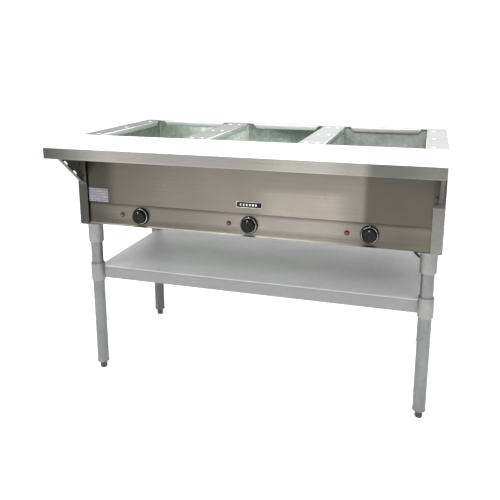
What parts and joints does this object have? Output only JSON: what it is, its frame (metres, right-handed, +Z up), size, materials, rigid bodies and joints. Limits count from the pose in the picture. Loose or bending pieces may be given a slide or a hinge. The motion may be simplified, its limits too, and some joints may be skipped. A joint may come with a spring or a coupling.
{
  "type": "steam table",
  "caption": "Electric steam table with open wells, a front cutting board on folded brackets, turn knobs with pilot lights, round legs and an adjustable undershelf.",
  "frame": {"origin": "on the floor, under the middle of the whole table", "axes": "+X to the right of someone facing the controls, along the long side; +Y to the rear; +Z up"},
  "size_m": [1.222, 0.767, 0.883],
  "materials": {
    "stainless": "brushed stainless sheet, satin",
    "top_steel": "brushed stainless sheet, lighter satin",
    "galvanised": "galvanised steel, dull grey",
    "pan_metal": "dull grey-green sheet steel",
    "element": "dark heat-stained sheath",
    "chrome": "bright plated",
    "black_plastic": "black moulded plastic, satin",
    "red_lens": "dark red lens, glossy",
    "board_white": "white polyethylene, fine matt",
    "label": "silver-white plate, satin",
    "cord_rubber": "black cord jacket, matt"
  },
  "bodies": {
    "table": {"top_sheet": "top_steel", "front_panel": "stainless", "control_panel": "stainless", "control_trough": "galvanised", "rear_panel": "stainless", "end_panel_left": "stainless", "end_panel_right": "stainless", "board_shelf": "stainless", "board_bracket_left": "stainless", "board_bracket_right": "stainless", "badge": "black_plastic", "data_plate": "label", "strain_relief": "cord_rubber", "power_cord": "cord_rubber", "cord_hank": "cord_rubber", "plug": "black_plastic", "cord_tie": "black_plastic", "well_liner_1": "pan_metal", "heating_element_1": "element", "control_switch_1": "black_plastic", "pilot_light_1": "red_lens", "well_liner_2": "pan_metal", "heating_element_2": "element", "control_switch_2": "black_plastic", "pilot_light_2": "red_lens", "well_liner_3": "pan_metal", "heating_element_3": "element", "control_switch_3": "black_plastic", "pilot_light_3": "red_lens", "bracket_bolt_1": "galvanised", "leg_1": "galvanised", "leg_socket_1": "galvanised", "bracket_bolt_2": "galvanised", "leg_2": "galvanised", "leg_socket_2": "galvanised", "bracket_bolt_3": "galvanised", "leg_3": "galvanised", "leg_socket_3": "galvanised", "bracket_bolt_4": "galvanised", "leg_4": "galvanised", "leg_socket_4": "galvanised"},
    "cutting_board": {"cutting_board": "board_white"},
    "shelf": {"undershelf": "galvanised", "shelf_collar_1": "galvanised", "shelf_collar_2": "galvanised", "shelf_collar_3": "galvanised", "shelf_collar_4": "galvanised"},
    "dial_1": {"knob_1": "black_plastic", "knob_ring_1": "chrome", "switch_shaft_1": "galvanised"},
    "dial_2": {"knob_2": "black_plastic", "knob_ring_2": "chrome", "switch_shaft_2": "galvanised"},
    "dial_3": {"knob_3": "black_plastic", "knob_ring_3": "chrome", "switch_shaft_3": "galvanised"},
    "levelling_foot_1": {"foot_1": "galvanised"},
    "levelling_foot_2": {"foot_2": "galvanised"},
    "levelling_foot_3": {"foot_3": "galvanised"},
    "levelling_foot_4": {"foot_4": "galvanised"}
  },
  "joints": [
    {"name": "dial_1_turn", "type": "hinge", "parent": "table", "child": "dial_1", "pos_m": [-0.377, -0.175, 0.609], "axis": [0, 1, 0], "range_deg": [0, 300]},
    {"name": "dial_2_turn", "type": "hinge", "parent": "table", "child": "dial_2", "pos_m": [0.0085, -0.175, 0.609], "axis": [0, 1, 0], "range_deg": [0, 300]},
    {"name": "dial_3_turn", "type": "hinge", "parent": "table", "child": "dial_3", "pos_m": [0.394, -0.175, 0.609], "axis": [0, 1, 0], "range_deg": [0, 300]},
    {"name": "board_lift", "type": "slide", "parent": "table", "child": "cutting_board", "axis": [0, 0, 1], "range_m": [0, 0.1]},
    {"name": "undershelf_height", "type": "slide", "parent": "table", "child": "shelf", "axis": [0, 0, 1], "range_m": [-0.28, 0.07]},
    {"name": "foot_1_height", "type": "slide", "parent": "table", "child": "levelling_foot_1", "axis": [0, 0, -1], "range_m": [0, 0.025]},
    {"name": "foot_2_height", "type": "slide", "parent": "table", "child": "levelling_foot_2", "axis": [0, 0, -1], "range_m": [0, 0.025]},
    {"name": "foot_3_height", "type": "slide", "parent": "table", "child": "levelling_foot_3", "axis": [0, 0, -1], "range_m": [0, 0.025]},
    {"name": "foot_4_height", "type": "slide", "parent": "table", "child": "levelling_foot_4", "axis": [0, 0, -1], "range_m": [0, 0.025]}
  ]
}
